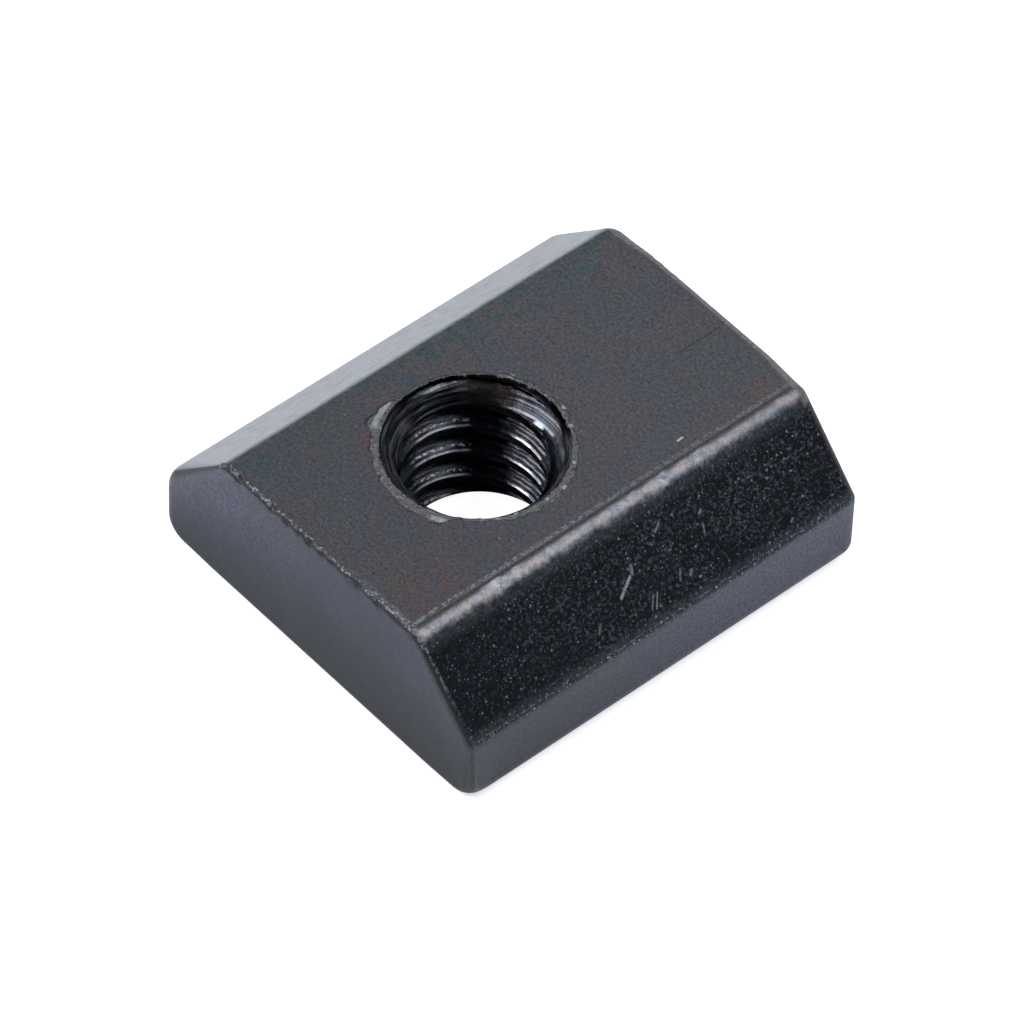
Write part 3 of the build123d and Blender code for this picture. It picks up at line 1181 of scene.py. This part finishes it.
# The camera, fitted to the edges of the block in the photograph
VIEW_AZIMUTH = math.radians(-48.1369)
VIEW_ELEVATION = math.radians(48.8257)
VIEW_ROLL = math.radians(1.5586)
VIEW_DISTANCE = 242.814
VIEW_TARGET = (1.09674, -1.0044, 3.24)
FOCAL_PIXELS = 7122.14
PICTURE_PIXELS = 1024
SENSOR_WIDTH = 36


def build_camera():
    forward = Vector((math.sin(VIEW_AZIMUTH) * math.cos(VIEW_ELEVATION),
                      math.cos(VIEW_AZIMUTH) * math.cos(VIEW_ELEVATION),
                      -math.sin(VIEW_ELEVATION)))
    level = Vector((math.cos(VIEW_AZIMUTH), -math.sin(VIEW_AZIMUTH), 0))
    upward = level.cross(forward)
    right = level * math.cos(VIEW_ROLL) + upward * math.sin(VIEW_ROLL)
    up = upward * math.cos(VIEW_ROLL) - level * math.sin(VIEW_ROLL)
    data = bpy.data.cameras.new("camera")
    data.sensor_width = SENSOR_WIDTH
    data.lens = FOCAL_PIXELS * SENSOR_WIDTH / PICTURE_PIXELS
    data.clip_start = 0.01
    camera = add_object("camera", data)
    place = (Vector(VIEW_TARGET) - forward * VIEW_DISTANCE) * MM
    turn = Matrix((right, up, -forward)).transposed()
    camera.matrix_world = Matrix.Translation(place) @ turn.to_4x4()
    bpy.context.scene.camera = camera


# How far the floor is lifted to white for the camera: under the hole, and around the nut,
# where a faint shadow is left
UNDER_HOLE_LIFT = 0.97
FLOOR_LIFT = 0.6
UNDER_HOLE_REACH = (4, 7)

# Half the width of the floor, and the lamps, in metres
FLOOR_HALF_WIDTH = 0.6
FLOOR_COLOUR = (0.93, 0.93, 0.93)
LAMP_DISTANCE = 0.3
LAMP_COLOUR = (0.95, 0.985, 1.06)
FILL_COLOUR = (0.85, 0.95, 1.15)
WHITE = (1, 1, 1)

# Strength of the world: for all rays that leave the nut, and as the camera sees it
FILL_STRENGTH = 0.13


def build_floor():
    mesh = bpy.data.meshes.new("floor")
    size = FLOOR_HALF_WIDTH
    mesh.from_pydata([(-size, -size, 0), (size, -size, 0), (size, size, 0), (-size, size, 0)],
                     [], [(0, 1, 2, 3)])
    floor = add_object("floor", mesh)
    material = bpy.data.materials.new("floor")
    material.use_nodes = True
    g = Graph(material.node_tree)
    shader = g.nodes["Principled BSDF"]
    g.put(shader.inputs["Base Color"], FLOOR_COLOUR)
    shader.inputs["Roughness"].default_value = 1
    shader.inputs["Specular IOR Level"].default_value = 0
    g.put(shader.inputs["Emission Color"], WHITE)
    path = g.nodes.new("ShaderNodeLightPath")
    place = g.nodes.new("ShaderNodeTexCoord")
    away = g.nodes.new("ShaderNodeVectorMath")
    away.operation = "DISTANCE"
    g.put(away.inputs[0], place.outputs["Object"])
    g.put(away.inputs[1], (HOLE_X * MM, HOLE_Y * MM, 0))
    beyond = g.ramp(away.outputs["Value"], *(reach * MM for reach in UNDER_HOLE_REACH))
    lift = g.mix(beyond, UNDER_HOLE_LIFT, FLOOR_LIFT)
    g.put(shader.inputs["Emission Strength"], g.times(lift, path.outputs["Is Camera Ray"]))
    mesh.materials.append(material)


def softbox(name, azimuth, elevation, width, height, power):
    """A rectangular lamp that faces the nut from a direction given in degrees."""
    data = bpy.data.lights.new(name, "AREA")
    data.shape = "RECTANGLE"
    data.size = width
    data.size_y = height
    data.energy = power
    data.color = LAMP_COLOUR
    lamp = add_object(name, data)
    azimuth, elevation = math.radians(azimuth), math.radians(elevation)
    direction = Vector((math.cos(azimuth) * math.cos(elevation),
                        math.sin(azimuth) * math.cos(elevation), math.sin(elevation)))
    lamp.location = direction * LAMP_DISTANCE
    lamp.rotation_euler = direction.to_track_quat("Z", "Y").to_euler()


def build_world():
    """A dim fill for the nut, which its right shoulder mirrors, and white for the camera."""
    world = bpy.data.worlds.new("world")
    bpy.context.scene.world = world
    world.use_nodes = True
    g = Graph(world.node_tree)
    background = g.nodes["Background"]
    seen = g.nodes.new("ShaderNodeLightPath").outputs["Is Camera Ray"]
    g.put(background.inputs["Strength"], g.scaled(seen, FILL_STRENGTH, 1.0))
    g.put(background.inputs["Color"], g.blend(seen, FILL_COLOUR, WHITE))


build_camera()
build_floor()
softbox("softbox_left", 232, 50, 0.22, 0.14, 0.68)
softbox("softbox_right", 56, 56, 0.28, 0.14, 0.6)
build_world()
bpy.context.scene.view_settings.view_transform = "Standard"
